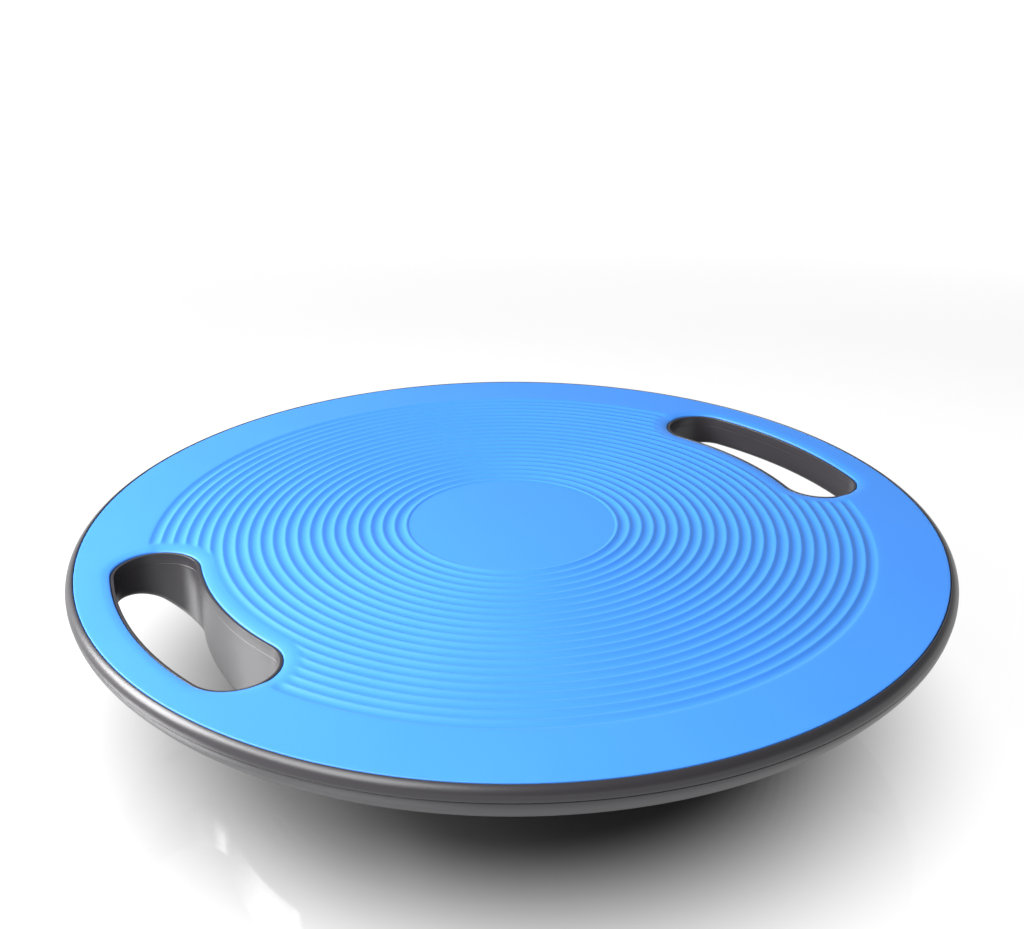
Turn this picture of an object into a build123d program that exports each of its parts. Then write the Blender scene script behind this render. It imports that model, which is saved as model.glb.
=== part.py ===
from build123d import *
import os
from math import asin, cos, radians, sin, sqrt

os.makedirs("parts", exist_ok=True)

# Balance board: a round deck on a shallow dome, with two hand openings in its rim.
# Origin at the middle of the underside, on the floor; +Z up; the openings lie on +X and -X.
# All sizes in millimetres. A "depth" is measured down from the deck plane.

# --- overall sizes ---------------------------------------------------------------------------
BOARD_D = 395.0            # widest diameter, at the grey shoulder
BOARD_H = 82.4             # deck plane above the floor
RIM_H = 14.2               # deck plane down to the underside of the rim flange
DISH_R = 172.0             # where the dome's sphere reaches the level of the rim's underside
SWEEP_IN_R = 158.0         # where the dome starts to flatten out towards the rim
SWEEP_OUT_R = 178.0        # where it has become the sloping flange
FLANGE_DROP = 3.6          # flange lower there than at the rim
FOOT_FLAT_R = 22.0         # flat spot in the middle of the dome
DECK_WALL = 3.0            # plate of the deck shell
BASE_WALL = 2.8            # wall of the base shell

# --- rim section -----------------------------------------------------------------------------
SHOULDER_W = 3.5           # mat recess wall to the widest point
SHOULDER_DEPTH = 4.2       # depth of the widest point
CROWN_W = 0.5              # bevel at the shoulder's inner top edge
PARTING_DEPTH = 5.2        # lower edge of the deck shell's shoulder
PARTING_GAP = 0.25         # open line between the two shells at the rim
LEDGE_W = 3.4              # ledge in the base shell that carries the deck plate
RIM_TAPER = 4.3            # how far the rim draws in from its widest point to its underside
RIM_EDGE_R = 0.9           # rounding of the rim's lower edge

# --- mat -------------------------------------------------------------------------------------
MAT_T = 3.2                # full thickness, at the crests
MAT_GAP = 0.3              # clearance all round the mat
RIDGE_H = 0.8              # crest above valley
RIDGE_PITCH = 5.5
RIDGE_COUNT = 21
CENTRE_DISC_R = 47.5       # smooth disc inside the ridges
CENTRE_SINK = 0.4          # how far the smooth disc lies under the crests
MAT_BORDER = 7.3           # smooth border round each opening
MAT_EDGE_R = 1.3           # rolled edge of the mat at the openings
STUD_D = 6.0               # studs under the mat and the pad that push into the shells
STUD_GAP = 0.2
MAT_STUD_RINGS = ((78.0, 12, 15.0), (184.5, 6, 30.0))

# --- hand openings ---------------------------------------------------------------------------
SLOT_MID_R = 160.1         # centre line of the opening
SLOT_HALF_W = 17.4
SLOT_HALF_ANGLE = 15.9     # degrees from the middle of the opening to its end centres
SLOT_AZIMUTHS = (0.0, 180.0)
LIP_W = 1.3                # grey lip that stands up through the mat
LIP_DEPTH = 1.4
LIP_EDGE_R = 0.5
SLOT_WALL = 2.6            # wall of the base shell round the opening
SPIGOT_T = 1.6             # rib under the deck plate that centres on the opening wall
SPIGOT_H = 2.8

# --- ribs ------------------------------------------------------------------------------------
RIB_T = 2.2
RIB_COUNT = 12
RIB_START_R = 12.0
RIB_DEEP_R = 148.0         # ribs are deep inside this radius and shallow outside it
RIB_END_CLEAR = 1.5
RIB_MEET_DEPTH = 22.0      # deck ribs come down to here
RIB_SHALLOW_H = 2.8
RIB_GAP = 0.3              # between the deck ribs and the base ribs
RING_RIB_RADII = (62.0, 96.0, 130.0)

# --- dome rings and foot pad -------------------------------------------------------------------
RING_PITCH = 4.6
RING_H = 0.35
PAD_R = 42.0
PAD_T = 2.6
PAD_GAP = 0.2
PAD_STUD_COUNT = 6
PAD_STUD_R = 30.0
PAD_STUD_L = 3.2
PAD_FLOOR_T = 3.4

# --- screws ----------------------------------------------------------------------------------
DECK_SCREW_RINGS = ((115.0, 6, 30.0), (22.0, 3, 30.0))
DECK_SCREW_D = 4.2
DECK_SCREW_L = 19.0
DECK_HEAD_D = 8.0
DECK_HEAD_H = 2.2
TOWER_D = 10.0
TOWER_CLEAR = 0.6          # deck ribs stand this far off the towers
SEAT_T = 2.2               # plastic under each screw head
RIM_SCREW_R = 178.5
RIM_SCREW_AZIMUTHS = (40.0, 90.0, 140.0, 220.0, 270.0, 320.0)
RIM_SCREW_D = 3.5
RIM_SCREW_L = 6.5
RIM_HEAD_D = 7.0
RIM_HEAD_H = 2.0
RIM_POCKET_D = 11.0
RIM_POCKET_DEPTH = 3.2
RIM_SEAT_T = 1.6
CUP_WALL = 1.6
RIM_BOSS_D = 8.0
PILOT_SHRINK = 0.7         # pilot hole diameter under the screw diameter
SHANK_GAP = 0.5            # clearance hole diameter over the screw diameter
TIP_GAP = 0.4
SCREW_CORE_SHRINK = 0.8    # modelled shank under the nominal diameter, at the thread's root
CROSS_W = 1.0              # cross recess in the screw heads
CROSS_DEPTH = 1.1

# --- modelling allowances ----------------------------------------------------------------------
JOIN = 0.5                 # how far an added feature runs into the body that it belongs to
CUT = 1.0                  # how far a cut runs past the face that it opens

# --- worked out --------------------------------------------------------------------------------
BOARD_R = BOARD_D / 2
RECESS_R = BOARD_R - SHOULDER_W
MAT_R = RECESS_R - MAT_GAP
FLOOR_DEPTH = MAT_T                      # the deck plate's top, under the mat
PLATE_DEPTH = FLOOR_DEPTH + DECK_WALL    # the deck plate's underside
DOME_C_DEPTH = (BOARD_H ** 2 - RIM_H ** 2 - DISH_R ** 2 + FOOT_FLAT_R ** 2) / (2 * (BOARD_H - RIM_H))
DOME_R = sqrt((BOARD_H - DOME_C_DEPTH) ** 2 + FOOT_FLAT_R ** 2)
LEDGE_R = RECESS_R - LEDGE_W
RIM_BOTTOM_R = BOARD_R - RIM_TAPER
FLANGE_SLOPE = FLANGE_DROP / (RIM_BOTTOM_R - RIM_EDGE_R - SWEEP_OUT_R)
MAT_SLOT_GROW = LIP_W + MAT_GAP
RIB_MEET_BASE = RIB_MEET_DEPTH + RIB_GAP
PAD_SEAT_DEPTH = BOARD_H - PAD_T


def z_at(depth):
    """Height above the floor of a depth below the deck plane."""
    return BOARD_H - depth


def dome_depth(r, inset=0.0):
    """Depth of the dome's surface, or of a surface inset from it, at a radius."""
    return DOME_C_DEPTH + sqrt((DOME_R - inset) ** 2 - r ** 2)


def on_dome(r, inset=0.0):
    """Point of the dome in the section plane."""
    return (r, z_at(dome_depth(r, inset)))


def spun(face):
    """Full revolution of a section drawn in the XZ plane."""
    return revolve(Plane.XZ * face, Axis.Z, 360)


def section(*edges):
    """Closed section face from edges drawn as (r, z)."""
    return make_face(Wire(list(edges)))


def slot_face(grow=0.0, azimuth=0.0):
    """Outline of a hand opening, widened by grow all round."""
    arc = CenterArc((0, 0), SLOT_MID_R, azimuth - SLOT_HALF_ANGLE, 2 * SLOT_HALF_ANGLE)
    return SlotArc(arc, 2 * (SLOT_HALF_W + grow))


def slot_prism(grow, top_depth, bottom_depth):
    """Both hand openings as solids between two depths."""
    solids = []
    for azimuth in SLOT_AZIMUTHS:
        face = Plane.XY.offset(z_at(bottom_depth)) * slot_face(grow, azimuth)
        solids.append(extrude(face, bottom_depth - top_depth))
    return Compound(children=[s.solid() for s in solids])


def post(radius, azimuth, diameter, top_depth, bottom_depth):
    """Upright round post or hole between two depths."""
    height = bottom_depth - top_depth
    place = Pos(radius * cos(radians(azimuth)), radius * sin(radians(azimuth)), z_at(bottom_depth))
    return place * Cylinder(diameter / 2, height, align=(Align.CENTER, Align.CENTER, Align.MIN))


def ring_places(rings):
    """Every (radius, azimuth) of a set of (radius, count, first azimuth) rings."""
    return [(r, first + 360 / count * k) for r, count, first in rings for k in range(count)]


def ring_wall(radius, thickness, top_depth, bottom_depth):
    """Round upright wall centred on a radius."""
    outer = post(0, 0, 2 * radius + thickness, top_depth, bottom_depth)
    return outer - post(0, 0, 2 * radius - thickness, top_depth, bottom_depth)


def blade(azimuth, inner_r, outer_r, top_depth, bottom_depth):
    """Flat radial rib."""
    height = bottom_depth - top_depth
    box = Box(outer_r - inner_r, RIB_T, height, align=(Align.MIN, Align.CENTER, Align.MIN))
    return Rot(0, 0, azimuth) * Pos(inner_r, 0, z_at(bottom_depth)) * box


DECK_SCREW_PLACES = ring_places(DECK_SCREW_RINGS)
RIM_SCREW_PLACES = [(RIM_SCREW_R, azimuth) for azimuth in RIM_SCREW_AZIMUTHS]
MAT_STUD_PLACES = ring_places(MAT_STUD_RINGS)
PAD_STUD_PLACES = ring_places(((PAD_STUD_R, PAD_STUD_COUNT, 0.0),))
RIB_AZIMUTHS = [360 / RIB_COUNT * k for k in range(RIB_COUNT)]


# --- deck mat ----------------------------------------------------------------------------------
def mat_section():
    """Half section of the mat: smooth disc, ridges with round crests, flat outer band."""
    first = CENTRE_DISC_R + RIDGE_PITCH / 4
    z_crest = z_at(0)
    z_valley = z_at(RIDGE_H)
    z_disc = z_at(CENTRE_SINK)
    edges = [Line((0, z_at(MAT_T)), (0, z_disc)), Line((0, z_disc), (CENTRE_DISC_R, z_disc))]
    here = (CENTRE_DISC_R, z_disc)
    crest_w = RIDGE_PITCH * 0.3
    for k in range(RIDGE_COUNT):
        left = (first + RIDGE_PITCH * k, z_crest - RIDGE_H * 0.25)
        top = (left[0] + crest_w / 2, z_crest)
        right = (left[0] + crest_w, left[1])
        if k == 0:
            edges.append(Line(here, left))
        else:
            edges.append(ThreePointArc(here, ((here[0] + left[0]) / 2, z_valley), left))
        edges.append(ThreePointArc(left, top, right))
        here = right
    band = (here[0] + RIDGE_PITCH - crest_w, z_crest)
    edges.append(ThreePointArc(here, ((here[0] + band[0]) / 2, z_valley), band))
    edges.append(Line(band, (MAT_R - RIDGE_H, z_crest)))
    edges.append(Line((MAT_R - RIDGE_H, z_crest), (MAT_R, z_valley)))
    edges.append(Line((MAT_R, z_valley), (MAT_R, z_at(MAT_T))))
    edges.append(Line((MAT_R, z_at(MAT_T)), (0, z_at(MAT_T))))
    return section(*edges)


def deck_mat():
    """Ridged soft mat with a smooth border round each opening and studs underneath."""
    mat = spun(mat_section())
    mat = mat + slot_prism(MAT_BORDER, 0, MAT_T)
    mat = mat - slot_prism(MAT_SLOT_GROW, -CUT, MAT_T + CUT)
    opening_edges = [
        e for e in mat.edges().filter_by_position(Axis.Z, z_at(0) - 0.01, z_at(0) + 0.01)
        if on_slot_outline(e)
    ]
    mat = fillet(opening_edges, MAT_EDGE_R)
    for radius, azimuth in MAT_STUD_PLACES:
        mat = mat + post(radius, azimuth, STUD_D, MAT_T - JOIN, PLATE_DEPTH)
    return mat.solid()


def on_slot_outline(edge):
    """True for an edge on the mat's cut round an opening, told by its distance from the slot."""
    p = edge.position_at(0.5)
    across = min(slot_distance(p, azimuth) for azimuth in SLOT_AZIMUTHS)
    return abs(across - SLOT_HALF_W - MAT_SLOT_GROW) < 0.05


def slot_distance(point, azimuth):
    """Distance in plan from a point to a hand opening's centre line."""
    flat = Vector(point.X, point.Y, 0)
    arc = CenterArc((0, 0), SLOT_MID_R, azimuth - SLOT_HALF_ANGLE, 2 * SLOT_HALF_ANGLE)
    return arc.distance_to(flat)


# --- deck shell --------------------------------------------------------------------------------
def deck_shell_section():
    """Half section of the deck shell: plate under the mat and rounded shoulder."""
    crown = (RECESS_R + CROWN_W, z_at(0))
    widest = (BOARD_R, z_at(SHOULDER_DEPTH))
    run = BOARD_R - crown[0]
    round_r = (run ** 2 + SHOULDER_DEPTH ** 2) / (2 * run)
    half_turn = asin(SHOULDER_DEPTH / round_r) / 2
    bulge = (
        BOARD_R - round_r + round_r * cos(half_turn),
        z_at(SHOULDER_DEPTH - round_r * sin(half_turn)),
    )
    return section(
        Line((0, z_at(FLOOR_DEPTH)), (RECESS_R, z_at(FLOOR_DEPTH))),
        Line((RECESS_R, z_at(FLOOR_DEPTH)), (RECESS_R, z_at(CROWN_W))),
        Line((RECESS_R, z_at(CROWN_W)), crown),
        ThreePointArc(crown, bulge, widest),
        Line(widest, (BOARD_R, z_at(PARTING_DEPTH))),
        Line((BOARD_R, z_at(PARTING_DEPTH)), (RECESS_R, z_at(PARTING_DEPTH))),
        Line((RECESS_R, z_at(PARTING_DEPTH)), (RECESS_R, z_at(PLATE_DEPTH))),
        Line((RECESS_R, z_at(PLATE_DEPTH)), (0, z_at(PLATE_DEPTH))),
        Line((0, z_at(PLATE_DEPTH)), (0, z_at(FLOOR_DEPTH))),
    )


def deck_ribs():
    """Ribs under the deck plate, deep over the dome and shallow over the flange."""
    ribs = Part()
    rib_end = LEDGE_R - RIB_END_CLEAR
    shallow_end = min(PLATE_DEPTH + RIB_SHALLOW_H, RIM_H - RIM_POCKET_DEPTH - RIM_SEAT_T - RIB_GAP)
    for azimuth in RIB_AZIMUTHS:
        ribs = ribs + blade(azimuth, RIB_START_R, RIB_DEEP_R, PLATE_DEPTH - JOIN, RIB_MEET_DEPTH)
        ribs = ribs + blade(azimuth, RIB_DEEP_R - JOIN, rib_end, PLATE_DEPTH - JOIN, shallow_end)
    for radius in (RIB_START_R,) + RING_RIB_RADII:
        ribs = ribs + ring_wall(radius, RIB_T, PLATE_DEPTH - JOIN, RIB_MEET_DEPTH)
    return ribs


def deck_shell():
    """Upper shell: plate, shoulder, lips of the openings, ribs, screw bosses and holes."""
    tower_top = PLATE_DEPTH + SEAT_T
    ribs = deck_ribs() - slot_prism(SLOT_WALL + RIB_GAP + SPIGOT_T / 2, PLATE_DEPTH, BOARD_H)
    for radius, azimuth in DECK_SCREW_PLACES:
        ribs = ribs - post(radius, azimuth, TOWER_D + 2 * TOWER_CLEAR, PLATE_DEPTH, RIB_MEET_BASE)
    shell = spun(deck_shell_section()) + ribs
    for radius, azimuth in DECK_SCREW_PLACES:
        shell = shell + post(radius, azimuth, TOWER_D, PLATE_DEPTH - JOIN, tower_top)
    boss_end = RIM_H - RIM_POCKET_DEPTH - RIM_SEAT_T
    for radius, azimuth in RIM_SCREW_PLACES:
        shell = shell + post(radius, azimuth, RIM_BOSS_D, PLATE_DEPTH - JOIN, boss_end)
    spigot_in = SLOT_WALL + RIB_GAP
    shell = shell + slot_prism(spigot_in + SPIGOT_T, PLATE_DEPTH - JOIN, PLATE_DEPTH + SPIGOT_H)
    shell = shell - slot_prism(spigot_in, PLATE_DEPTH, PLATE_DEPTH + SPIGOT_H + CUT)
    shell = shell + slot_prism(LIP_W, LIP_DEPTH, PLATE_DEPTH)
    shell = shell - slot_prism(0, -CUT, PLATE_DEPTH + CUT)
    for radius, azimuth in DECK_SCREW_PLACES:
        shell = shell - post(radius, azimuth, DECK_HEAD_D + SHANK_GAP, FLOOR_DEPTH - CUT, PLATE_DEPTH)
        shell = shell - post(radius, azimuth, DECK_SCREW_D + SHANK_GAP, FLOOR_DEPTH, tower_top + CUT)
    for radius, azimuth in RIM_SCREW_PLACES:
        pilot_top = boss_end + RIM_SEAT_T - RIM_SCREW_L - TIP_GAP
        shell = shell - post(radius, azimuth, RIM_SCREW_D - PILOT_SHRINK, pilot_top, boss_end + CUT)
    for radius, azimuth in MAT_STUD_PLACES:
        shell = shell - post(radius, azimuth, STUD_D + 2 * STUD_GAP, FLOOR_DEPTH - CUT, PLATE_DEPTH + CUT)
    lip_z = z_at(LIP_DEPTH)
    lip_edges = shell.edges().filter_by_position(Axis.Z, lip_z - 0.01, lip_z + 0.01)
    return fillet(lip_edges, LIP_EDGE_R).solid()


# --- base shell --------------------------------------------------------------------------------
def dome_ring_edges(start_r, end_r, inset_r):
    """Scalloped edges along the dome from one radius out to another."""
    count = round((end_r - start_r) / RING_PITCH)
    step = (end_r - start_r) / count
    edges = []
    for k in range(count):
        a = start_r + step * k
        edges.append(ThreePointArc(on_dome(a, inset_r), on_dome(a + step / 2), on_dome(a + step, inset_r)))
    return edges


def flange_depth(r):
    """Depth of the sloping flange's underside at a radius."""
    return RIM_H + FLANGE_SLOPE * (RIM_BOTTOM_R - RIM_EDGE_R - r)


def sweep_edges(inset, start_inset):
    """Curve from the dome out to the flange, both inset by the same wall."""
    start = on_dome(SWEEP_IN_R, start_inset)
    end = (SWEEP_OUT_R, z_at(flange_depth(SWEEP_OUT_R) - inset))
    r = (SWEEP_IN_R + SWEEP_OUT_R) / 2
    mean = (start[1] + end[1]) / 2
    slack = (SWEEP_OUT_R - SWEEP_IN_R) * 0.07
    return [ThreePointArc(start, (r, mean - slack), end)]


def base_envelope():
    """Outer form of the base shell as one solid: dome with fine rings, sloping flange and rim."""
    ring_in = PAD_R + PAD_GAP
    flat_z = z_at(RIM_H)
    seat_z = z_at(PAD_SEAT_DEPTH)
    rim_top = (BOARD_R - 0.2, z_at(PARTING_DEPTH + PARTING_GAP))
    rim_mid = (BOARD_R - 0.2 * RIM_TAPER, z_at((PARTING_DEPTH + RIM_H) / 2))
    rim_low = (RIM_BOTTOM_R + 0.35, z_at(RIM_H - RIM_EDGE_R))
    rim_turn = (RIM_BOTTOM_R, z_at(RIM_H - 0.3 * RIM_EDGE_R))
    rim_flat = (RIM_BOTTOM_R - RIM_EDGE_R, flat_z)
    edges = [Line((0, seat_z), (ring_in, seat_z)), Line((ring_in, seat_z), on_dome(ring_in, RING_H))]
    edges += dome_ring_edges(ring_in, SWEEP_IN_R, RING_H)
    edges += [
        *sweep_edges(0.0, RING_H),
        Line((SWEEP_OUT_R, z_at(flange_depth(SWEEP_OUT_R))), rim_flat),
        ThreePointArc(rim_flat, rim_turn, rim_low),
        ThreePointArc(rim_low, rim_mid, rim_top),
        Line(rim_top, (0, rim_top[1])),
        Line((0, rim_top[1]), (0, seat_z)),
    ]
    return spun(section(*edges))


def base_cavity(inset):
    """Hollow of the base shell, its dome and flange faces inset from the outer form."""
    floor_r = sqrt((DOME_R - inset) ** 2 - (PAD_SEAT_DEPTH - PAD_FLOOR_T - DOME_C_DEPTH) ** 2)
    ledge_z = z_at(PLATE_DEPTH)
    top_z = z_at(PARTING_DEPTH - CUT)
    middle = on_dome((floor_r + SWEEP_IN_R) / 2, inset)
    ledge_low = z_at(flange_depth(LEDGE_R) - inset)
    return spun(section(
        Line((0, z_at(PAD_SEAT_DEPTH - PAD_FLOOR_T)), on_dome(floor_r, inset)),
        ThreePointArc(on_dome(floor_r, inset), middle, on_dome(SWEEP_IN_R, inset)),
        *sweep_edges(inset, inset),
        Line((SWEEP_OUT_R, z_at(flange_depth(SWEEP_OUT_R) - inset)), (LEDGE_R, ledge_low)),
        Line((LEDGE_R, ledge_low), (LEDGE_R, ledge_z)),
        Line((LEDGE_R, ledge_z), (RECESS_R + MAT_GAP, ledge_z)),
        Line((RECESS_R + MAT_GAP, ledge_z), (RECESS_R + MAT_GAP, top_z)),
        Line((RECESS_R + MAT_GAP, top_z), (0, top_z)),
        Line((0, top_z), (0, z_at(PAD_SEAT_DEPTH - PAD_FLOOR_T))),
    ))


def base_inside():
    """Ribs, screw towers, screw cups and opening walls, before they are trimmed to the dome."""
    inside = Part()
    shallow_top = PLATE_DEPTH + RIB_SHALLOW_H + 2 * RIB_GAP
    for azimuth in RIB_AZIMUTHS:
        inside = inside + blade(azimuth, RIB_START_R, RIB_DEEP_R, RIB_MEET_BASE, BOARD_H)
        inside = inside + blade(azimuth, RIB_DEEP_R + RIB_GAP, LEDGE_R + JOIN, shallow_top, BOARD_H)
    for radius in (RIB_START_R,) + RING_RIB_RADII:
        inside = inside + ring_wall(radius, RIB_T, RIB_MEET_BASE, BOARD_H)
    spigot_out = SLOT_WALL + RIB_GAP + SPIGOT_T + RIB_GAP
    inside = inside - slot_prism(spigot_out, PLATE_DEPTH, PLATE_DEPTH + SPIGOT_H + RIB_GAP)
    for radius, azimuth in DECK_SCREW_PLACES:
        inside = inside + post(radius, azimuth, TOWER_D, PLATE_DEPTH + SEAT_T, BOARD_H)
    cup_top = RIM_H - RIM_POCKET_DEPTH - RIM_SEAT_T
    for radius, azimuth in RIM_SCREW_PLACES:
        inside = inside + post(radius, azimuth, RIM_POCKET_D + 2 * CUP_WALL, cup_top, BOARD_H)
    return inside + slot_prism(SLOT_WALL, PLATE_DEPTH, BOARD_H)


def base_shell():
    """Lower shell: dome, flange and rim, with ribs, towers, cups and opening walls inside."""
    core = base_cavity(BASE_WALL / 2)
    shell = base_envelope() - base_cavity(BASE_WALL)
    shell = shell + (base_inside() & core)
    shell = shell - slot_prism(0, -CUT, BOARD_H + CUT)
    tower_top = PLATE_DEPTH + SEAT_T
    for radius, azimuth in DECK_SCREW_PLACES:
        pilot_end = PLATE_DEPTH + DECK_SCREW_L + TIP_GAP
        shell = shell - post(radius, azimuth, DECK_SCREW_D - PILOT_SHRINK, tower_top - CUT, pilot_end)
    for radius, azimuth in RIM_SCREW_PLACES:
        seat = RIM_H - RIM_POCKET_DEPTH
        shell = shell - post(radius, azimuth, RIM_POCKET_D, seat, BOARD_H)
        shell = shell - post(radius, azimuth, RIM_SCREW_D + SHANK_GAP, seat - RIM_SEAT_T - CUT, seat + CUT)
    for radius, azimuth in PAD_STUD_PLACES:
        hole_top = PAD_SEAT_DEPTH - PAD_FLOOR_T - CUT
        shell = shell - post(radius, azimuth, STUD_D + 2 * STUD_GAP, hole_top, PAD_SEAT_DEPTH + CUT)
    return shell.solid()


# --- grip pad ----------------------------------------------------------------------------------
def grip_pad():
    """Soft pad in the middle of the dome: flat spot, domed margin and studs into the shell."""
    seat_z = z_at(PAD_SEAT_DEPTH)
    face = section(
        Line((0, 0), (FOOT_FLAT_R, 0)),
        ThreePointArc((FOOT_FLAT_R, 0), on_dome((FOOT_FLAT_R + PAD_R) / 2), on_dome(PAD_R)),
        Line(on_dome(PAD_R), (PAD_R, seat_z)),
        Line((PAD_R, seat_z), (0, seat_z)),
        Line((0, seat_z), (0, 0)),
    )
    pad = spun(face)
    for radius, azimuth in PAD_STUD_PLACES:
        pad = pad + post(radius, azimuth, STUD_D, PAD_SEAT_DEPTH - PAD_STUD_L, PAD_SEAT_DEPTH + JOIN)
    return pad.solid()


# --- screws ------------------------------------------------------------------------------------
def screw(diameter, length, head_d, head_h):
    """Pan-head screw standing on its point, head seat at Z = 0 and shank down."""
    root = diameter - SCREW_CORE_SHRINK
    head = Cylinder(head_d / 2, head_h, align=(Align.CENTER, Align.CENTER, Align.MIN))
    head = fillet(head.edges().group_by(Axis.Z)[-1], head_h * 0.45)
    arm = Box(head_d * 0.6, CROSS_W, CROSS_DEPTH, align=(Align.CENTER, Align.CENTER, Align.MAX))
    recess = Pos(0, 0, head_h) * (arm + Rot(0, 0, 90) * arm)
    shank = Cylinder(root / 2, length - root, align=(Align.CENTER, Align.CENTER, Align.MAX))
    point = Pos(0, 0, root - length) * Cone(
        0.25, root / 2, root, align=(Align.CENTER, Align.CENTER, Align.MAX)
    )
    return head - recess + shank + point


def deck_screws():
    """Screws driven down through the deck plate into the towers, under the mat."""
    model = screw(DECK_SCREW_D, DECK_SCREW_L, DECK_HEAD_D, DECK_HEAD_H)
    placed = []
    for radius, azimuth in DECK_SCREW_PLACES:
        x = radius * cos(radians(azimuth))
        y = radius * sin(radians(azimuth))
        placed.append((Pos(x, y, z_at(PLATE_DEPTH)) * model).solid())
    return Compound(children=placed)


def rim_screws():
    """Screws driven up through the rim cups into the deck shell's bosses."""
    model = Rot(180, 0, 0) * screw(RIM_SCREW_D, RIM_SCREW_L, RIM_HEAD_D, RIM_HEAD_H)
    placed = []
    for radius, azimuth in RIM_SCREW_PLACES:
        x = radius * cos(radians(azimuth))
        y = radius * sin(radians(azimuth))
        placed.append((Pos(x, y, z_at(RIM_H - RIM_POCKET_DEPTH)) * model).solid())
    return Compound(children=placed)


NODES = {
    "deck_mat": deck_mat,
    "deck_shell": deck_shell,
    "base_shell": base_shell,
    "grip_pad": grip_pad,
    "deck_screws": deck_screws,
    "rim_screws": rim_screws,
}

for name, make in NODES.items():
    export_step(make(), f"parts/{name}.step")
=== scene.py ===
import math

import bmesh
import bpy
from bpy.props import FloatProperty, FloatVectorProperty, IntProperty, PointerProperty
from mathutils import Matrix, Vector


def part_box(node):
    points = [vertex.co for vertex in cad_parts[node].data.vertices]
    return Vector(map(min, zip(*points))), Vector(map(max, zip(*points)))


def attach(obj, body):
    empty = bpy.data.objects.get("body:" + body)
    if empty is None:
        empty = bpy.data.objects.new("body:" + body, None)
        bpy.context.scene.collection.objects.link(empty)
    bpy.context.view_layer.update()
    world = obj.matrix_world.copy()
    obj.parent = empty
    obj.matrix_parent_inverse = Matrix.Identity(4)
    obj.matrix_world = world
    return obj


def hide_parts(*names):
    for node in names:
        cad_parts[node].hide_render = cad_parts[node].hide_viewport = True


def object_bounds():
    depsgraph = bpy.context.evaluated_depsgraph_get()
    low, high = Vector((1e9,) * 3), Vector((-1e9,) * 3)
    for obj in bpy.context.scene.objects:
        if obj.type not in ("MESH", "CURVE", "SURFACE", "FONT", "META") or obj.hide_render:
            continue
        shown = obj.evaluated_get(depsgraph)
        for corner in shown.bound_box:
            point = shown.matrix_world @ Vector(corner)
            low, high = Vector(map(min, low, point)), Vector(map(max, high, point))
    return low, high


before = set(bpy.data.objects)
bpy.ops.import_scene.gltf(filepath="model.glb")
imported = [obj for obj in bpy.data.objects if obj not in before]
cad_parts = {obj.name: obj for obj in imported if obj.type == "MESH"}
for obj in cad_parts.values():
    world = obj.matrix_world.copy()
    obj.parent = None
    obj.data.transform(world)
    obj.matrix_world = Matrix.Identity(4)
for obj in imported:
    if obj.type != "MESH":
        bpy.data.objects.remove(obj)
CAD_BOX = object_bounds()

bl_info = {
    "name": "Balance board",
    "version": (1, 0, 0),
    "blender": (4, 5, 0),
    "location": "View3D > Sidebar > Board",
    "description": "Builds the mat, the two shells, the grip pad and the screws of a balance board",
    "category": "Object",
}

MM = 0.001
BODY = "root"
ORIGIN = (0.0, 0.0, 0.0)
MERGE = 0.002 * MM
FINE_PAST = math.radians(11.6)    # fine steps reach this far past an opening's end centres
FILL_REACH = 24 * MM              # how far from an opening its gap may be filled
POCKET_REACH = 17 * MM            # the same round a screw pocket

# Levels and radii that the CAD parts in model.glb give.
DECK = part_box("deck_mat")[1].z              # deck plane, at the mat's crests
MAT_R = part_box("deck_mat")[1].x             # mat's outer edge
PLATE_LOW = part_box("deck_mat")[0].z         # underside of the deck plate, where the studs end
SHOULDER_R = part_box("deck_shell")[1].x      # widest radius of the board
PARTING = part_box("base_shell")[1].z         # top of the base shell's rim
PAD_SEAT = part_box("base_shell")[0].z        # where the grip pad is fixed
PAD_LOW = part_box("grip_pad")[0].z
PAD_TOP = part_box("grip_pad")[1].z           # ends of its studs
PAD_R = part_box("grip_pad")[1].x


def default_mm(value):
    """A default length in metres from millimetres."""
    return value * MM


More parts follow.
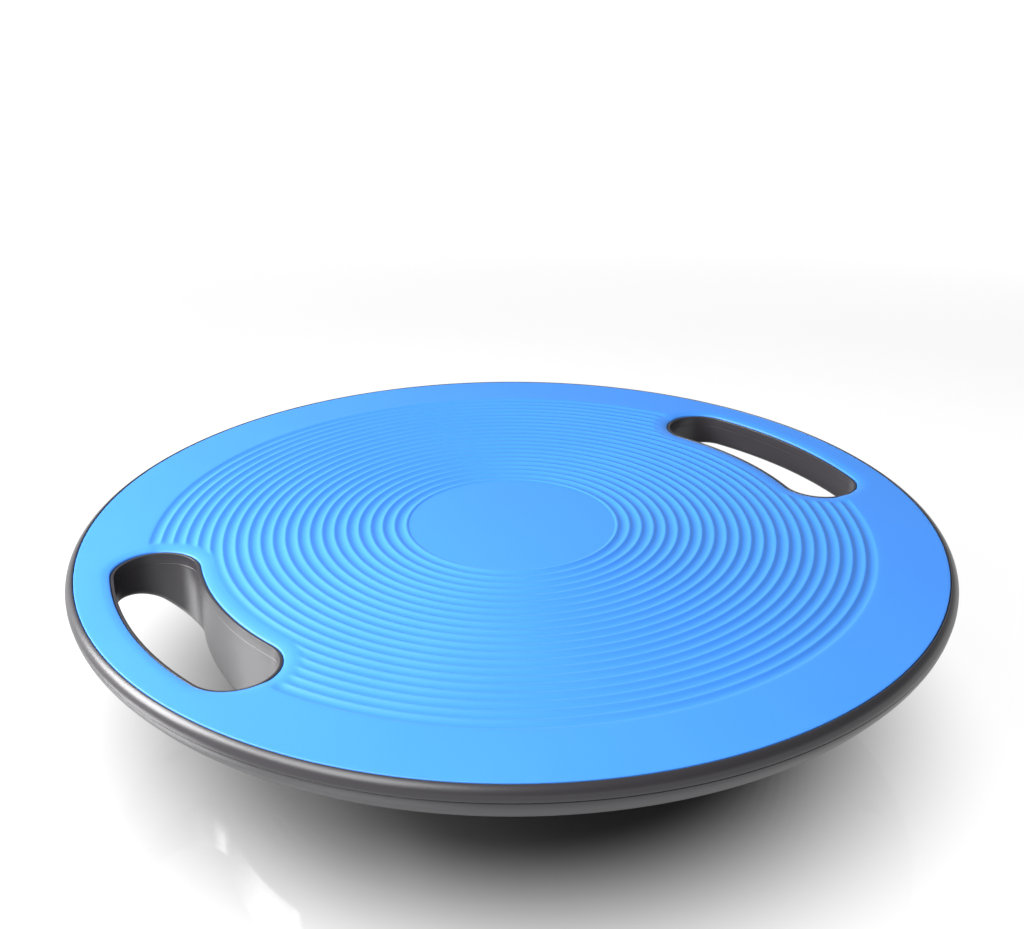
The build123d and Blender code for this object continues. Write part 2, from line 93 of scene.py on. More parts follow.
class BoardSizes(bpy.types.PropertyGroup):
    """Sizes of the visible pieces."""

    ridge_count: IntProperty(name="Ridges", description="Concentric ridges on the mat", default=21, min=1)
    ridge_pitch: FloatProperty(
        name="Ridge pitch", description="From one crest to the next", default=default_mm(5.5), unit="LENGTH")
    ridge_height: FloatProperty(
        name="Ridge height", description="Crest above hollow", default=default_mm(0.8), unit="LENGTH")
    disc_radius: FloatProperty(
        name="Disc radius", description="Smooth disc in the middle", default=default_mm(47.5), unit="LENGTH")
    disc_sink: FloatProperty(
        name="Disc sink", description="Smooth disc under the crests", default=default_mm(0.45), unit="LENGTH")
    mat_thickness: FloatProperty(
        name="Mat thickness", description="Mat at its crests", default=default_mm(3.2), unit="LENGTH")
    border_width: FloatProperty(
        name="Border width", description="Smooth border round an opening", default=default_mm(6.6), unit="LENGTH")
    border_sink: FloatProperty(
        name="Border sink", description="Border under the crests", default=default_mm(0.5), unit="LENGTH")
    roll_width: FloatProperty(
        name="Roll width", description="How far out the mat starts to roll down", default=default_mm(5.5),
        unit="LENGTH")
    roll_depth: FloatProperty(
        name="Roll depth", description="How far the mat rolls down at an opening", default=default_mm(0.9),
        unit="LENGTH")
    slot_radius: FloatProperty(
        name="Opening radius", description="Centre line of the openings", default=default_mm(160.1), unit="LENGTH")
    slot_half_width: FloatProperty(
        name="Opening half width", description="Half the width of an opening", default=default_mm(17.4),
        unit="LENGTH")
    slot_half_angle: FloatProperty(
        name="Opening half angle", description="From the middle of an opening to its end centres",
        default=math.radians(15.9), subtype="ANGLE")
    lip_width: FloatProperty(
        name="Lip width", description="Lip that stands up through the mat", default=default_mm(1.3), unit="LENGTH")
    lip_depth: FloatProperty(
        name="Lip depth", description="Lip under the deck plane", default=default_mm(1.4), unit="LENGTH")
    mat_gap: FloatProperty(
        name="Mat gap", description="Clearance round the mat", default=default_mm(0.3), unit="LENGTH")
    rim_height: FloatProperty(
        name="Rim height", description="Deck plane to the flange's underside", default=default_mm(14.2),
        unit="LENGTH")
    dish_radius: FloatProperty(
        name="Dome radius", description="Where the dome's sphere reaches the rim's underside",
        default=default_mm(172.0), unit="LENGTH")
    sweep_start: FloatProperty(
        name="Sweep start", description="Where the dome starts to flatten out", default=default_mm(158.0),
        unit="LENGTH")
    sweep_end: FloatProperty(
        name="Sweep end", description="Where it has become the sloping flange", default=default_mm(178.0),
        unit="LENGTH")
    flange_drop: FloatProperty(
        name="Flange drop", description="Flange lower there than at the rim", default=default_mm(3.6),
        unit="LENGTH")
    foot_radius: FloatProperty(
        name="Flat spot", description="Flat spot under the dome", default=default_mm(22.0), unit="LENGTH")
    ring_pitch: FloatProperty(
        name="Ring pitch", description="Fine rings on the dome", default=default_mm(4.6), unit="LENGTH")
    ring_height: FloatProperty(
        name="Ring height", description="Depth of the dome's rings", default=default_mm(0.35), unit="LENGTH")
    edge_round: FloatProperty(
        name="Edge rounding", description="Underside edge of the openings", default=default_mm(3.6), unit="LENGTH")
    wall: FloatProperty(
        name="Wall", description="Wall of the base shell", default=default_mm(2.8), unit="LENGTH")
    pocket_radius: FloatProperty(
        name="Screw pockets", description="Radius of the rim screws' pockets", default=default_mm(5.5),
        unit="LENGTH")
    pocket_circle: FloatProperty(
        name="Pocket circle", description="Radius that the rim screws stand on", default=default_mm(178.5),
        unit="LENGTH")


class BoardColours(bpy.types.PropertyGroup):
    """Colours as sRGB values, turned to linear when a material is made."""

    mat: FloatVectorProperty(
        name="Mat", description="Light blue elastomer", subtype="COLOR_GAMMA", size=3, min=0, max=1,
        default=(0x38 / 255, 0x82 / 255, 0xDC / 255))
    shell: FloatVectorProperty(
        name="Shells", description="Dark grey polypropylene", subtype="COLOR_GAMMA", size=3, min=0, max=1,
        default=(0x2E / 255, 0x2C / 255, 0x30 / 255))
    pad: FloatVectorProperty(
        name="Grip pad", description="Charcoal elastomer", subtype="COLOR_GAMMA", size=3, min=0, max=1,
        default=(0x26 / 255, 0x27 / 255, 0x2A / 255))
    screw: FloatVectorProperty(
        name="Screws", description="Zinc plating", subtype="COLOR_GAMMA", size=3, min=0, max=1,
        default=(0xC4 / 255, 0xC6 / 255, 0xC8 / 255))
    floor: FloatVectorProperty(
        name="Floor", description="Studio floor", subtype="COLOR_GAMMA", size=3, min=0, max=1,
        default=(0x62 / 255, 0x62 / 255, 0x62 / 255))


def sizes():
    """The sizes that the panel shows."""
    return bpy.context.scene.board_sizes


def colours():
    """The colours that the panel shows."""
    return bpy.context.scene.board_colours


# --- materials -----------------------------------------------------------------------------------
def linear(colour):
    """Linear colour, with alpha, from an sRGB one."""
    parts = [c / 12.92 if c <= 0.04045 else ((c + 0.055) / 1.055) ** 2.4 for c in colour]
    return (*parts, 1.0)


def add(tree, kind, inputs=None, **settings):
    """Adds a node with its settings, and sets or links its inputs."""
    made = tree.nodes.new(kind)
    for name, value in settings.items():
        setattr(made, name, value)
    for name, value in (inputs or {}).items():
        if isinstance(value, bpy.types.NodeSocket):
            tree.links.new(value, made.inputs[name])
        else:
            made.inputs[name].default_value = value
    return made


def moulded(name, colour, roughness, spread, grain, depth, shade, ior=1.5):
    """Moulded plastic or elastomer: fine tool grain as bump, and slightly uneven gloss and colour."""
    material = bpy.data.materials.new(name)
    material.use_nodes = True
    tree = material.node_tree
    surface = tree.nodes["Principled BSDF"]
    place = add(tree, "ShaderNodeTexCoord").outputs["Object"]
    cloudy = add(tree, "ShaderNodeTexNoise", {"Vector": place, "Scale": 1 / (45 * MM), "Detail": 3.0})
    fine = add(tree, "ShaderNodeTexNoise", {"Vector": place, "Scale": 1 / grain, "Detail": 2.0, "Roughness": 0.6})
    gloss = add(
        tree, "ShaderNodeMapRange",
        {"Value": cloudy.outputs["Fac"], "From Min": 0.3, "From Max": 0.7,
         "To Min": roughness - spread, "To Max": roughness + spread})
    dark = linear([c * shade for c in colour])
    tint = add(
        tree, "ShaderNodeMix", {"Factor": cloudy.outputs["Fac"], "A": dark, "B": linear(colour)}, data_type="RGBA")
    bump = add(tree, "ShaderNodeBump", {"Height": fine.outputs["Fac"], "Distance": depth, "Strength": 0.6})
    tree.links.new(tint.outputs["Result"], surface.inputs["Base Color"])
    tree.links.new(gloss.outputs["Result"], surface.inputs["Roughness"])
    tree.links.new(bump.outputs["Normal"], surface.inputs["Normal"])
    surface.inputs["IOR"].default_value = ior
    return material


def mat_material():
    """Moulded TPE: satin and slightly rubbery, a soft wide highlight over a clear light blue."""
    return moulded("moulded_tpe_blue", colours().mat, 0.5, 0.03, 0.9 * MM, 0.02 * MM, 0.97)


def shell_material():
    """Moulded PP: waxy semi-gloss dark grey that mirrors its surroundings softly at a low angle."""
    return moulded("moulded_pp_grey", colours().shell, 0.36, 0.02, 0.8 * MM, 0.015 * MM, 0.93)


def pad_material():
    """Moulded TPE, charcoal: matt, with hardly any highlight."""
    return moulded("moulded_tpe_charcoal", colours().pad, 0.62, 0.05, 0.9 * MM, 0.03 * MM, 0.9)


def screw_material():
    """Zinc-plated steel: bright grey metal, faintly brushed by the tumbling that it was plated in."""
    material = bpy.data.materials.new("zinc_plated_steel")
    material.use_nodes = True
    tree = material.node_tree
    surface = tree.nodes["Principled BSDF"]
    place = add(tree, "ShaderNodeTexCoord").outputs["Object"]
    fine = add(tree, "ShaderNodeTexNoise", {"Vector": place, "Scale": 1 / (0.7 * MM), "Detail": 3.0})
    gloss = add(
        tree, "ShaderNodeMapRange", {"Value": fine.outputs["Fac"], "To Min": 0.24, "To Max": 0.44})
    tree.links.new(gloss.outputs["Result"], surface.inputs["Roughness"])
    surface.inputs["Base Color"].default_value = linear(colours().screw)
    surface.inputs["Metallic"].default_value = 1.0
    return material


def shared(name, make):
    """A material by name, made the first time that it is asked for."""
    return bpy.data.materials.get(name) or make()


# --- mesh tools ----------------------------------------------------------------------------------
def smooth(t):
    """Smooth step from 0 to 1."""
    t = min(max(t, 0.0), 1.0)
    return t * t * (3 - 2 * t)


def chain(bm, points, y=0.0):
    """Row of joined vertices through (x, z, seat) points in the XZ plane, or in one beside it.

    Seat 0 keeps its own z. Seats 1 and 2 ride on the piece's outer and inner surface, z above it."""
    seat = bm.verts.layers.int.get("seat") or bm.verts.layers.int.new("seat")
    verts = []
    for x, z, rides in points:
        vert = bm.verts.new((x, y, z))
        vert[seat] = rides
        verts.append(vert)
    edges = [bm.edges.new(pair) for pair in zip(verts, verts[1:])]
    return verts + edges


def turn(bm, geom, centre, angle, steps):
    """Sweeps a row about an upright axis, and returns its last copy."""
    swept = bmesh.ops.spin(bm, geom=geom, cent=centre, axis=(0, 0, 1), dvec=(0, 0, 0), angle=angle, steps=steps)
    return swept["geom_last"]


def quarter_sheet(bm, points, fine, coarse):
    """Quarter turn of a row about the board's axis, in fine steps past the opening."""
    s = sizes()
    past = s.slot_half_angle + FINE_PAST
    geom = chain(bm, points)
    for angle, step in ((past, fine), (math.pi / 2 - past, coarse)):
        geom = turn(bm, geom, ORIGIN, angle, math.ceil(angle / math.radians(step)))


def full_turn(bm, points, steps):
    """Full turn of a row about the board's axis in even steps."""
    turn(bm, chain(bm, points), ORIGIN, math.tau, steps)
    bmesh.ops.remove_doubles(bm, verts=bm.verts, dist=MERGE)


def slot_distance(x, y):
    """Distance in plan from the nearer opening's edge, negative inside the opening."""
    s = sizes()
    x = abs(x)
    angle = math.atan2(y, x)
    if abs(angle) <= s.slot_half_angle:
        return abs(math.hypot(x, y) - s.slot_radius) - s.slot_half_width
    end = math.copysign(s.slot_half_angle, angle)
    return math.hypot(x - s.slot_radius * math.cos(end), y - s.slot_radius * math.sin(end)) - s.slot_half_width


def half_band(bm, points, step=1.3 * MM):
    """Sweeps a section round half an opening: along the far arc, round the end, back along the near arc.

    The section's x is its distance out from the opening's edge."""
    s = sizes()
    half = s.slot_half_angle
    reach = s.slot_radius + s.slot_half_width
    end = Vector((s.slot_radius * math.cos(half), s.slot_radius * math.sin(half), 0))
    geom = chain(bm, [(reach + x, z, rides) for x, z, rides in points])
    for centre, angle, radius in (
        (ORIGIN, half, reach),
        (end, math.pi, s.slot_half_width + 3 * MM),
        (ORIGIN, -half, s.slot_radius - s.slot_half_width),
    ):
        geom = turn(bm, geom, centre, angle, math.ceil(abs(angle) * radius / step))


def mirror_over(bm, axis):
    """Mirrors everything, and merges it where the halves meet."""
    bmesh.ops.mirror(bm, geom=bm.verts[:] + bm.edges[:] + bm.faces[:], merge_dist=MERGE, axis=axis)


def take(bm, other):
    """Adds another mesh's geometry to this one."""
    held = bpy.data.meshes.new("held")
    other.to_mesh(held)
    other.free()
    bm.from_mesh(held)
    bpy.data.meshes.remove(held)


def open_slot(bm, out):
    """Removes what lies inside the opening's outline, widened by out."""
    inside = [v for v in bm.verts if slot_distance(v.co.x, v.co.y) < out]
    bmesh.ops.delete(bm, geom=inside, context="VERTS")


def join_edges(bm, rides, near):
    """Fills the gap between a sheet and the band round an opening, on one of the two surfaces."""
    seat = bm.verts.layers.int["seat"]
    edges = [
        e for e in bm.edges
        if e.is_boundary and all(v[seat] == rides and near(v.co.x, v.co.y) for v in e.verts)
    ]
    bmesh.ops.triangle_fill(bm, edges=edges, use_beauty=True, normal=(0, 0, 1))


def near_slot(x, y):
    """Whether a place is near enough to an opening for its gap to be filled."""
    return slot_distance(x, y) < FILL_REACH


def seat_on(bm, rides, surface):
    """Lifts the vertices that ride on a surface up to it."""
    seat = bm.verts.layers.int["seat"]
    for v in bm.verts:
        if v[seat] == rides:
            v.co.z += surface(v.co.x, v.co.y)


def cap_level(bm, z):
    """Fills the flat face at one level, between every open edge that lies on it."""
    edges = [e for e in bm.edges if e.is_boundary and all(abs(v.co.z - z) < MERGE for v in e.verts)]
    bmesh.ops.triangle_fill(bm, edges=edges, use_beauty=True, normal=(0, 0, 1))


def arc_points(centre, radius, start, end, count):
    """Points of an arc in the section, angles in degrees from +x towards +z."""
    made = []
    for k in range(count + 1):
        angle = math.radians(start + (end - start) * k / count)
        made.append((centre[0] + radius * math.cos(angle), centre[1] + radius * math.sin(angle), 0))
    return made


def finish_piece(name, bm, material, nodes, sharp=38.0):
    """Closes a mesh and makes it a smooth-shaded piece that rides on the board for its CAD nodes."""
    bmesh.ops.remove_doubles(bm, verts=bm.verts, dist=MERGE)
    bmesh.ops.recalc_face_normals(bm, faces=bm.faces)
    open_edges = sum(1 for e in bm.edges if len(e.link_faces) != 2)
    for face in bm.faces:
        face.smooth = True
    for edge in bm.edges:
        edge.smooth = len(edge.link_faces) == 2 and edge.calc_face_angle(0.0) < math.radians(sharp)
    mesh = bpy.data.meshes.new(name)
    bm.to_mesh(mesh)
    bm.free()
    piece = bpy.data.objects.new(name, mesh)
    bpy.context.scene.collection.objects.link(piece)
    mesh.materials.append(material)
    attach(piece, BODY)
    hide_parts(*nodes)
    triangles = sum(len(p.vertices) - 2 for p in mesh.polygons)
    print(f"{name}: {triangles} triangles, {open_edges} edges without two faces")
    if open_edges:
        raise RuntimeError(f"{name} is not closed")


# --- deck mat ------------------------------------------------------------------------------------
CREST_INSET = 1.25 * MM     # first crest outside the smooth disc
CREST_ROUND = 0.16          # rounding of the crests, as a share of half a pitch
RIDGE_FADE = 1.2 * MM       # over which the ridges end at a border
ROLL_POWER = 2.2            # how late the mat rolls down


def first_crest():
    """Radius of the innermost crest."""
    return sizes().disc_radius + CREST_INSET


def band_start():
    """Where the ridges end and the flat outer band begins."""
    s = sizes()
    return first_crest() + s.ridge_pitch * s.ridge_count


def ridge_level(r):
    """Level of the ridged surface against the deck plane: narrow round crests between broad hollows."""
    s = sizes()
    if r < s.disc_radius:
        return -s.disc_sink
    if r < first_crest():
        return -s.disc_sink * (1 - smooth((r - s.disc_radius) / CREST_INSET))
    if r > band_start():
        return 0.0
    turns = (r - first_crest()) / s.ridge_pitch
    away = abs((turns + 0.5) % 1 - 0.5) * 2
    away = (math.hypot(away, CREST_ROUND) - CREST_ROUND) / (math.hypot(1, CREST_ROUND) - CREST_ROUND)
    return -s.ridge_height * (1 - (1 - away) ** 2)


def mat_level(x, y):
    """Mat's top surface: ridges that end in a smooth border, which rolls down to each opening."""
    s = sizes()
    r = math.hypot(x, y)
    edge = slot_distance(x, y) - s.lip_width - s.mat_gap
    border = -s.border_sink * (1 - smooth((r - band_start() + s.ridge_pitch) / s.ridge_pitch))
    fade = min(max((edge - s.border_width) / RIDGE_FADE, 0.0), 1.0)
    fade = math.sqrt(1 - (1 - fade) ** 2)
    level = border + (ridge_level(r) - border) * fade
    rolled = min(max(1 - edge / s.roll_width, 0.0), 1.0)
    return DECK + level - s.roll_depth * rolled ** ROLL_POWER


def mat_radii():
    """Radii of the mat's rows: close together on the ridges, wider on the flat band."""
    s = sizes()
    radii = [0.0] + [s.disc_radius * part for part in (0.3, 0.6, 0.85, 0.97, 0.99, 1.0)]
    radii += [s.disc_radius + CREST_INSET * part for part in (0.25, 0.5, 0.75)]
    for k in range(s.ridge_count):
        crest = first_crest() + s.ridge_pitch * k
        radii += [crest + s.ridge_pitch * part for part in (0.0, 0.06, 0.16, 0.3, 0.5, 0.7, 0.84, 0.94)]
    start, end = band_start(), MAT_R - 1.4 * MM
    count = round((end - start) / (1.5 * MM))
    radii += [start + (end - start) * k / count for k in range(count + 1)]
    return radii


def make_mat():
    """Ridged mat with rolled borders round the openings and a rounded outer edge."""
    s = sizes()
    bm = bmesh.new()
    low = DECK - s.mat_thickness
    rim = 0.4 * MM
    points = [(r, 0.0, 1) for r in mat_radii()]
    points += [(x, z, 0) for x, z, _ in arc_points((MAT_R - rim, DECK - rim), rim, 90, 0, 5)]
    points += [(MAT_R, low, 0)]
    quarter_sheet(bm, points, 0.6, 1.5)
    edge = s.lip_width + s.mat_gap
    open_slot(bm, edge + 4.8 * MM)
    lip = 0.5 * MM
    band = [(edge + part * MM, 0.0, 1) for part in (4.1, 3.5, 3.0, 2.5, 2.0, 1.6, 1.2, 0.95)]
    band += [(edge + lip - lip * math.sin(a), -lip + lip * math.cos(a), 1) for a in
             (math.radians(15 * k) for k in range(7))]
    band += [(edge, low, 0)]
    half_band(bm, band)
    mirror_over(bm, "Y")
    join_edges(bm, 1, near_slot)
    seat_on(bm, 1, mat_level)
    mirror_over(bm, "X")
    cap_level(bm, low)
    finish_piece(
        "anti_slip_mat", bm, shared("moulded_tpe_blue", mat_material), ["deck_mat"], 50.0)


# --- deck shell ----------------------------------------------------------------------------------
EDGE_ROUND = 0.45 * MM      # shell's edge beside the mat
PARTING_ROUND = 0.25 * MM   # shoulder's edge at the parting line
SHOULDER_DROP = 4.2 * MM    # widest radius under the deck plane


def make_deck_shell():
    """Upper shell: rounded shoulder outside the mat, plate under it, and lips up through it."""
    s = sizes()
    bm = bmesh.new()
    plate = DECK - s.mat_thickness
    recess = MAT_R + s.mat_gap
    crown = recess + EDGE_ROUND
    parting = PARTING + PARTING_ROUND
    drop = DECK - SHOULDER_DROP
    run = SHOULDER_R - crown
    round_r = (run ** 2 + (DECK - drop) ** 2) / (2 * run)
    tip = math.degrees(math.asin((DECK - drop) / round_r))
    inner = recess - 8 * MM
    points = [(inner, plate, 0), (recess, plate, 0), (recess, DECK - EDGE_ROUND, 0)]
    points += arc_points((crown, DECK - EDGE_ROUND), EDGE_ROUND, 150, 105, 3)
    points += arc_points((SHOULDER_R - round_r, drop), round_r, tip, 0, 14)
    points += arc_points((SHOULDER_R - PARTING_ROUND, parting + PARTING_ROUND), PARTING_ROUND, 0, -90, 3)
    points += [(recess + 0.6 * MM, parting, 0), (recess, parting, 0), (recess, PLATE_LOW, 0), (inner, PLATE_LOW, 0)]
    full_turn(bm, points, 320)
    lip_top = DECK - s.lip_depth
    bend = 0.3 * MM
    base = s.lip_width + 1.8 * MM
    band = [(base, plate, 0), (s.lip_width, plate, 0)]
    band += arc_points((s.lip_width - bend, lip_top - bend), bend, 0, 90, 5)
    band += arc_points((bend, lip_top - bend), bend, 90, 180, 5)
    band += [(0.0, PLATE_LOW + 0.08 * MM, 0), (0.08 * MM, PLATE_LOW, 0), (base, PLATE_LOW, 0)]
    rings = bmesh.new()
    half_band(rings, band)
    mirror_over(rings, "Y")
    mirror_over(rings, "X")
    take(bm, rings)
    cap_level(bm, plate)
    cap_level(bm, PLATE_LOW)
    finish_piece(
        "upper_shell", bm, shared("moulded_pp_grey", shell_material), ["deck_shell"])


# --- base shell ----------------------------------------------------------------------------------
RIM_SETBACK = 5.2 * MM      # rim's rounded lower edge inside the widest radius
RIM_ROUND = 0.9 * MM
PAD_CLEARANCE = 0.2 * MM
SCREW_AZIMUTHS = (40, 90, 140, 220, 270, 320)
SCREW_SEAT = DECK - 11.0 * MM
CUP_TOP = DECK - 9.4 * MM
SCREW_HOLE_R = 2.0 * MM
CUP_WALL = 1.6 * MM


def dome():
    """(height of the dome's centre, its radius), from the flat spot and the edge of the flange."""
    s = sizes()
    rise = DECK - s.rim_height
    centre = (rise ** 2 + s.dish_radius ** 2 - s.foot_radius ** 2) / (2 * rise)
    return centre, math.hypot(centre, s.foot_radius)


def dome_level(r, inset=0.0):
    """Level of the dome's sphere, or of one inset from it."""
    centre, radius = dome()
    return centre - math.sqrt((radius - inset) ** 2 - r ** 2)


def rim_radius():
    """Radius where the rim's underside ends in its rounded edge."""
    return SHOULDER_R - RIM_SETBACK


def flange_level(r):
    """Underside of the sloping flange."""
    s = sizes()
    slope = s.flange_drop / (rim_radius() - s.sweep_end)
    return DECK - s.rim_height - slope * (rim_radius() - r)


def sweep_level(r, inset=0.0):
    """Dome, flange, and between them a curve that leaves both without a kink."""
    s = sizes()
    start, end = s.sweep_start, s.sweep_end
    if r <= start:
        return dome_level(r, inset)
    if r >= end:
        return flange_level(r) + inset
    low, high = dome_level(start, inset), flange_level(end) + inset
    t = (r - start) / (end - start)
    rise = (dome_level(start) - dome_level(start - 1 * MM)) / MM * (end - start)
    run = (flange_level(end) - flange_level(end - 1 * MM)) / MM * (end - start)
    return (
        low * (1 + 2 * t) * (1 - t) ** 2 + rise * t * (1 - t) ** 2
        + high * t * t * (3 - 2 * t) + run * t * t * (t - 1))


def ring_limits():
    """Inner and outer radius of the fine rings, and their count."""
    s = sizes()
    start = PAD_R + PAD_CLEARANCE
    return start, s.sweep_start, round((s.sweep_start - start) / s.ring_pitch)


def base_level(x, y):
    """Underside of the base shell: dome with fine rings that fade at the openings, then the flange."""
    s = sizes()
    r = math.hypot(x, y)
    start, end, count = ring_limits()
    turns = (r - start) / (end - start) * count
    ring = 1 - (2 * (turns % 1) - 1) ** 2 if start <= r <= end else 0.0
    fade = smooth((slot_distance(x, y) - 6.5 * MM) / (4 * MM))
    sunk = s.ring_height * (1 - smooth((r - end) / (8 * MM)))
    return sweep_level(r) + sunk * (1 - ring * fade)


def base_inner_level(x, y):
    """Inside face of the base shell."""
    s = sizes()
    return max(sweep_level(math.hypot(x, y), s.wall) + 0.4 * MM, PAD_TOP + PAD_CLEARANCE)


def base_points():
    """Closed half section of the base shell, from the pad's seat out, over the rim and back inside."""
    s = sizes()
    start, end, count = ring_limits()
    seat = PAD_SEAT
    edge = rim_radius()
    low = flange_level(edge)
    inner = MAT_R + s.mat_gap + 0.3 * MM
    ledge = MAT_R + s.mat_gap - 3.4 * MM
    points = [(0.0, seat, 0), (start * 0.6, seat, 0), (start, seat, 0)]
    step = (end - start) / count
    for k in range(count):
        points += [(start + step * (k + part), 0.0, 1) for part in (0.0, 0.15, 0.5, 0.85)]
    for k in range(10):
        points.append((end + (s.sweep_end - end) * k / 9, 0.0, 1))
    points += [(s.sweep_end + (edge - s.sweep_end) * part, 0.0, 1) for part in (0.2, 0.4, 0.6, 0.8, 0.97)]
    points += arc_points((edge, low + RIM_ROUND), RIM_ROUND, -80, -20, 5)
    rise, run = PARTING - low - RIM_ROUND, SHOULDER_R - 0.2 * MM - edge - RIM_ROUND
    for part in (0.1, 0.25, 0.4, 0.6, 0.8, 0.93):
        points.append((edge + RIM_ROUND + run * math.sin(part * math.pi / 2) ** 0.9, low + RIM_ROUND + rise * part, 0))
    points += arc_points((SHOULDER_R - 0.5 * MM, PARTING - 0.3 * MM), 0.3 * MM, 0, 90, 3)
    points += [(inner, PARTING, 0), (inner, PLATE_LOW, 0), (ledge, PLATE_LOW, 0)]
    points += [(ledge, flange_level(ledge) + s.wall + 1.0 * MM, 0)]
    points += [(ledge - 0.6 * MM - 2.4 * MM * k, 0.0, 2) for k in range(11)]
    count, reach = 14, ledge - 30 * MM
    points += [(reach - (reach - 6 * MM) * k / count, 0.0, 2) for k in range(count)]
    return points + [(0.0, 0.0, 2)]


def pocket_places():
    """Centres of the rim screws' pockets."""
    r = sizes().pocket_circle
    return [
        Vector((r * math.cos(math.radians(a)), r * math.sin(math.radians(a)), 0))
        for a in SCREW_AZIMUTHS]


def open_pockets(bm):
    """Removes what lies inside the screw pockets: less on the outside than on the inside, with its cups."""
    out = sizes().pocket_radius
    seat = bm.verts.layers.int["seat"]
    room = {1: out + 2.4 * MM, 2: out + 3.6 * MM}
    places = pocket_places()
    inside = [
        v for v in bm.verts
        if v[seat] and any(math.hypot(v.co.x - p.x, v.co.y - p.y) < room[v[seat]] for p in places)]
    bmesh.ops.delete(bm, geom=inside, context="VERTS")


def pocket_rings():
    """Screw pockets with their seats, screw holes and the cups round them, ready to be joined in."""
    out = sizes().pocket_radius
    bend = 0.4 * MM
    points = [(out + 1.5 * MM, 0.0, 1), (out + bend, 0.0, 1), (out + bend * 0.3, bend * 0.3, 1), (out, bend, 1)]
    points += [(out, SCREW_SEAT, 0), (SCREW_HOLE_R, SCREW_SEAT, 0)]
    points += [(SCREW_HOLE_R, CUP_TOP, 0), (out + CUP_WALL, CUP_TOP, 0)]
    points += [(out + CUP_WALL, 0.3 * MM, 2), (out + 1.9 * MM, 0.0, 2), (out + 2.9 * MM, 0.0, 2)]
    rings = bmesh.new()
    for place in pocket_places():
        turn(rings, chain(rings, [(place.x + x, z, rides) for x, z, rides in points], place.y), place, math.tau, 40)
    bmesh.ops.remove_doubles(rings, verts=rings.verts, dist=MERGE)
    return rings


def make_base_shell():
    """Lower shell: domed and ringed underside, flange, rim band and the walls of the openings."""
    s = sizes()
    bm = bmesh.new()
    quarter_sheet(bm, base_points(), 1.0, 2.0)
    open_slot(bm, 6.5 * MM)
    open_pockets(bm)
    top = PLATE_LOW - 0.05 * MM
    bend = s.edge_round
    band = [(5.6 * MM, 0.0, 1), (bend + 0.6 * MM, 0.0, 1)]
    for k in range(9):
        a = math.radians(90 * k / 8)
        band.append((bend * (1 - math.sin(a)), bend * (1 - math.cos(a)), 1))
    band += [(0.0, top - 0.08 * MM, 0), (0.08 * MM, top, 0)]
    band += [(s.wall, top, 0), (s.wall, 1.0 * MM, 2), (s.wall + 1.0 * MM, 0.0, 2), (5.6 * MM, 0.0, 2)]
    half_band(bm, band)
    mirror_over(bm, "Y")
    join_edges(bm, 1, near_slot)
    join_edges(bm, 2, near_slot)
    mirror_over(bm, "X")
    take(bm, pocket_rings())
    for place in pocket_places():
        for rides in (1, 2):
            join_edges(bm, rides, lambda x, y: math.hypot(x - place.x, y - place.y) < POCKET_REACH)
    seat_on(bm, 1, base_level)
    seat_on(bm, 2, base_inner_level)
    finish_piece(
        "lower_shell", bm, shared("moulded_pp_grey", shell_material), ["base_shell"])


# --- grip pad ------------------------------------------------------------------------------------
GROOVES = 6
GROOVE_PITCH = 5.2 * MM


def make_grip_pad():
    """Domed pad with a flat middle and shallow grip grooves."""
    s = sizes()
    bm = bmesh.new()
    points = [(0.0, PAD_SEAT, 0), (PAD_R, PAD_SEAT, 0)]
    points += [(PAD_R, dome_level(PAD_R) + 0.5 * MM, 0), (PAD_R - 0.15 * MM, dome_level(PAD_R) + 0.15 * MM, 0)]
    points += [(PAD_R - 0.5 * MM, dome_level(PAD_R) + 0.02 * MM, 0)]
    span = PAD_R - 4 * MM
    for k in range(GROOVES):
        middle = span - k * GROOVE_PITCH
        for offset, sunk in ((0.9, 0.0), (0.6, 0.5), (-0.6, 0.5), (-0.9, 0.0)):
            r = middle + offset * MM
            points.append((r, max(dome_level(r), PAD_LOW) + sunk * MM, 0))
    points += [(s.foot_radius * 0.2, PAD_LOW, 0), (0.0, PAD_LOW, 0)]
    full_turn(bm, points, 160)
    finish_piece(
        "dome_grip_pad", bm, shared("moulded_tpe_charcoal", pad_material), ["grip_pad"])


# --- screws --------------------------------------------------------------------------------------
def dress_screws():
    """Gives the two groups of screws their plating."""
    for node in ("deck_screws", "rim_screws"):
        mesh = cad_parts[node].data
        mesh.materials.clear()
        mesh.materials.append(shared("zinc_plated_steel", screw_material))


# --- stage ---------------------------------------------------------------------------------------
FLOOR_HALF = 60.0                       # metres, so that its edge is never seen
PAINTED_SHADOW_R, PAINTED_GLOW_R = 120 * MM, 230 * MM     # painted glow of the floor grows between these radii; none inside the first, a painted shadow under the board
HORIZON = (0.1, 0.3)                    # height of a direction where the bright horizon ends


